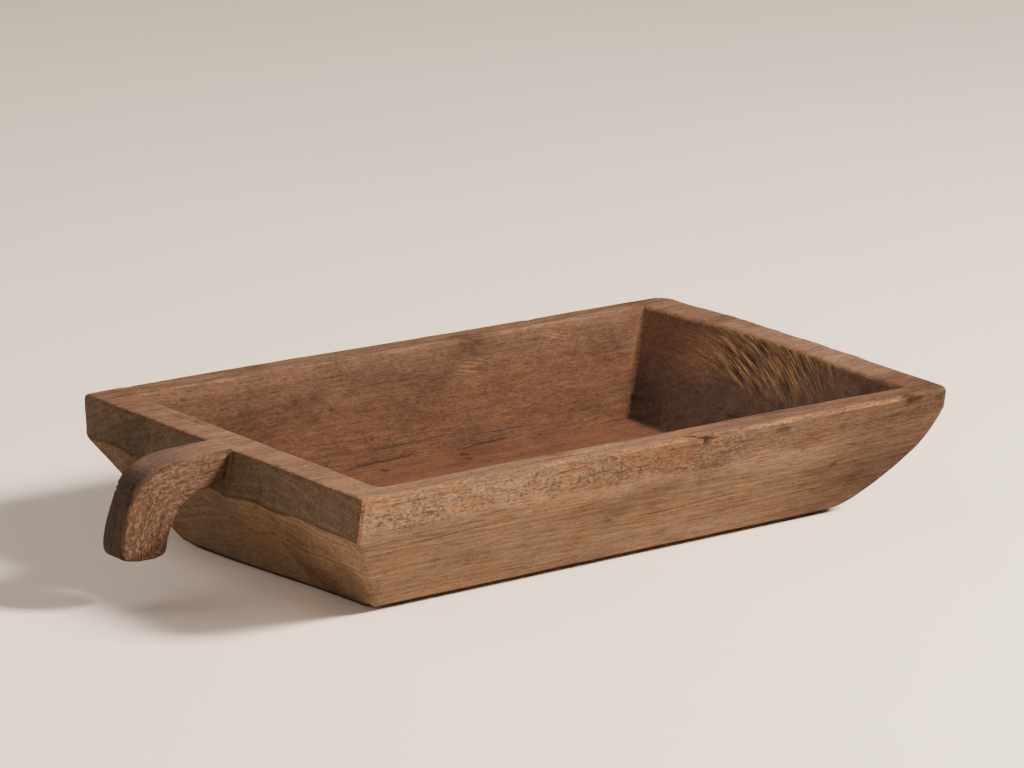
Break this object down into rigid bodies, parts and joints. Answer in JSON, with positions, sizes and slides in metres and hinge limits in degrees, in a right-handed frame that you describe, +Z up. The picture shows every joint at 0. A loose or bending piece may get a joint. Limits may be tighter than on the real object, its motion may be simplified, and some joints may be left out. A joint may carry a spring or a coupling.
{
  "type": "feed scoop",
  "caption": "Hewn hardwood scoop: a shallow open tray with sloping thick walls, a flat floor, an upswept mouth and a hooked end handle.",
  "frame": {"origin": "on the ground under the middle of the whole scoop, handle included", "axes": "+X runs along the scoop from the handle to the mouth, +Y across it, +Z up"},
  "size_m": [0.832, 0.468, 0.14],
  "materials": {
    "tray_wood": "worn reddish brown bare hardwood, satin from use, with drying checks",
    "wall_wood": "weathered tan brown bare hardwood with tool marks and pale worn edges",
    "rail_wood": "darkened grey brown bare hardwood with grime and pale worn top",
    "handle_wood": "hand-polished hardwood with open pores, dark on the outer curve"
  },
  "bodies": {
    "root": {"floor": "tray_wood", "near_side_wall": "wall_wood", "far_side_wall": "wall_wood", "mouth_end_wall": "wall_wood", "handle_end_wall": "wall_wood", "handle_rail": "rail_wood", "handle": "handle_wood"}
  },
  "joints": []
}
